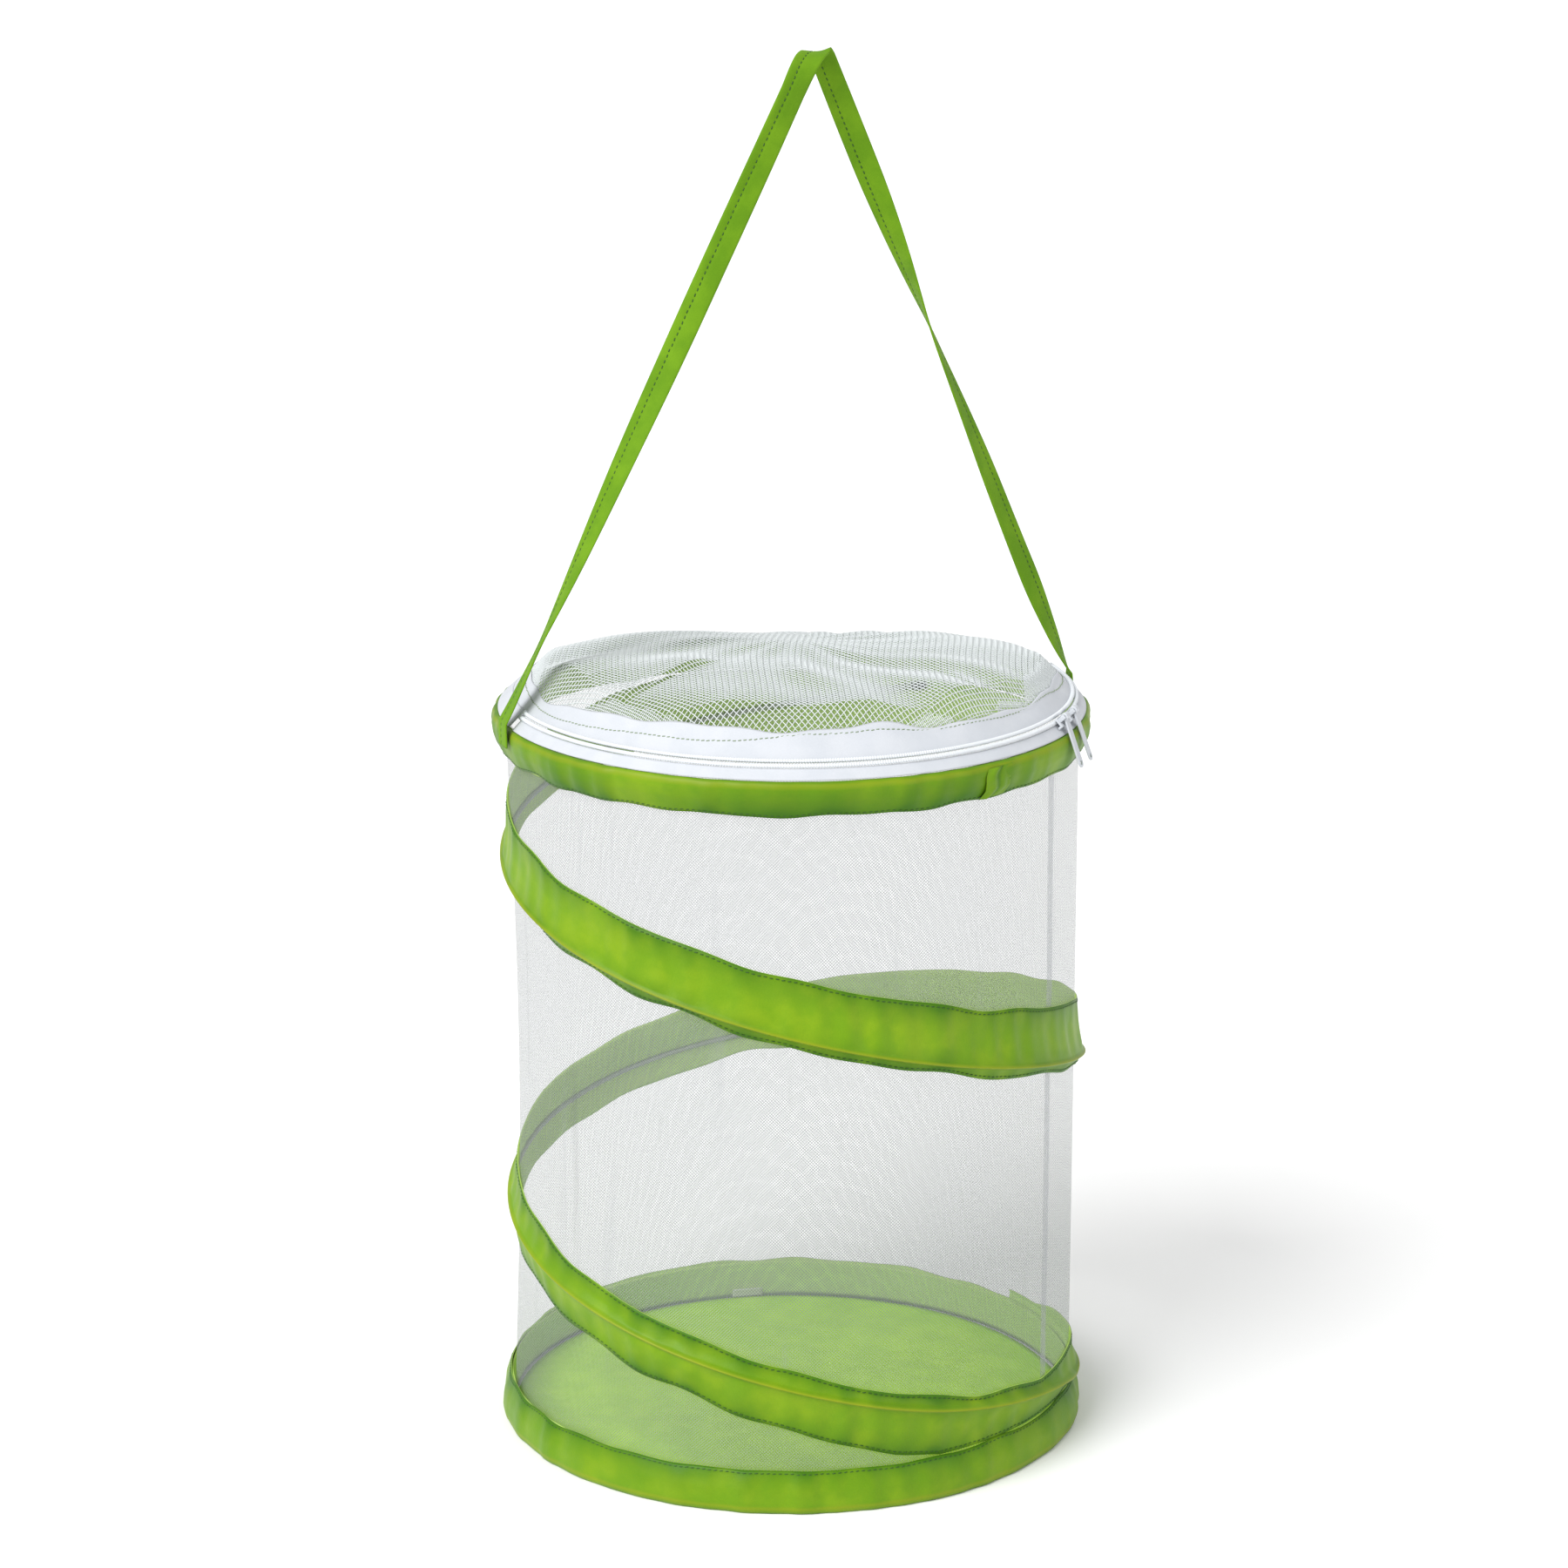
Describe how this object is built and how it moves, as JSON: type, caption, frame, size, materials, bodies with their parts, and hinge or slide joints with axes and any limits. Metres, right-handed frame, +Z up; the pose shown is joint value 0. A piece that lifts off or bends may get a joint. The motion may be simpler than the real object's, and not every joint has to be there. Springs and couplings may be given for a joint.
{
  "type": "pop-up mesh cage",
  "caption": "Round pop-up net cage with a spiral spring in sewn sleeves, fabric floor, zipped net lid that folds open and webbing strap; it presses flat.",
  "frame": {"origin": "centre of the cage's underside, on the surface it stands on", "axes": "+Z up along the cage's axis; -Y the front, as seen in the picture; +X to the right"},
  "size_m": [0.3044, 0.3044, 0.7075],
  "materials": {
    "green_tape": "plain-woven polyester tape, lime green, slight sheen, puckered along its stitching",
    "green_floor": "plain-woven polyester, lime green, matte",
    "strap_webbing": "folded and sewn polyester strap, lime green, one line of stitching",
    "wall_net": "fine white knitted diamond net",
    "lid_net": "white knitted diamond net, coarser than the wall, wrinkled",
    "white_tape": "ribbed white polyester tape, slight sheen",
    "zipper_coil": "white nylon coil",
    "zipper_slider": "white enamelled zipper slider and pull",
    "spring_wire": "drawn spring steel",
    "ferrule": "crimped sleeve",
    "wire_cap": "pushed-on end cap",
    "label": "blank white satin label"
  },
  "bodies": {
    "base": {"bottom_hoop_wire": "spring_wire", "bottom_wire_ferrule": "ferrule", "bottom_sleeve": "green_tape", "floor_panel": "green_floor", "care_label": "label", "net_wall": "wall_net", "wall_side_seam": "white_tape", "spiral_wire": "spring_wire", "spiral_cap_upper": "wire_cap", "spiral_cap_lower": "wire_cap", "spiral_sleeve": "green_tape"},
    "top": {"top_hoop_wire": "spring_wire", "top_wire_ferrule": "ferrule", "top_sleeve": "green_tape", "sleeve_overlap_fold": "green_tape", "outer_zipper_tape": "white_tape", "rear_binding_tape": "white_tape", "outer_coil": "zipper_coil", "zipper_stop_left": "zipper_coil", "zipper_stop_right": "zipper_coil", "lid_net_rear": "lid_net", "lid_tape_rear": "white_tape", "lid_coil_ends": "zipper_coil", "strap_tack_left": "strap_webbing", "strap_tack_right": "strap_webbing"},
    "lid": {"lid_net_front": "lid_net", "lid_tape_front": "white_tape", "lid_coil_front": "zipper_coil"},
    "slider_a": {"slider_a": "zipper_slider"},
    "slider_b": {"slider_b": "zipper_slider"},
    "pull_a": {"pull_a": "zipper_slider"},
    "pull_b": {"pull_b": "zipper_slider"},
    "strap": {"strap_webbing": "strap_webbing", "strap_end_left": "strap_webbing", "strap_end_right": "strap_webbing"}
  },
  "joints": [
    {"name": "collapse", "type": "slide", "parent": "base", "child": "top", "axis": [0, 0, 1], "range_m": [-0.35, 0], "stiffness_N_per_m": 40, "springref_m": 0.06, "deforming": ["net_wall", "wall_side_seam", "spiral_wire", "spiral_sleeve", "spiral_cap_upper", "spiral_cap_lower", "bottom_sleeve", "top_sleeve", "sleeve_overlap_fold"]},
    {"name": "lid_fold", "type": "hinge", "parent": "top", "child": "lid", "pos_m": [0.01368, -0.03759, 0.4135], "axis": [0.9397, 0.342, 0], "range_deg": [-110, 0]},
    {"name": "strap_swing", "type": "hinge", "parent": "top", "child": "strap", "pos_m": [0, 0, 0.381], "axis": [0.9397, 0.342, 0], "range_deg": [-48, 48], "deforming": ["strap_end_left", "strap_end_right"]},
    {"name": "slider_a_run", "type": "hinge", "parent": "top", "child": "slider_a", "pos_m": [0, 0, 0.3854], "axis": [0, 0, 1], "range_deg": [-129.6, 0]},
    {"name": "slider_b_run", "type": "hinge", "parent": "top", "child": "slider_b", "pos_m": [0, 0, 0.3854], "axis": [0, 0, -1], "range_deg": [-33.2, 0]},
    {"name": "pull_a_lift", "type": "hinge", "parent": "slider_a", "child": "pull_a", "pos_m": [0.1356, -0.06151, 0.38858], "axis": [-0.4131, -0.9107, 0], "range_deg": [0, 190]},
    {"name": "pull_b_lift", "type": "hinge", "parent": "slider_b", "child": "pull_b", "pos_m": [0.14078, -0.04848, 0.38858], "axis": [-0.3256, -0.9455, 0], "range_deg": [0, 190]}
  ]
}
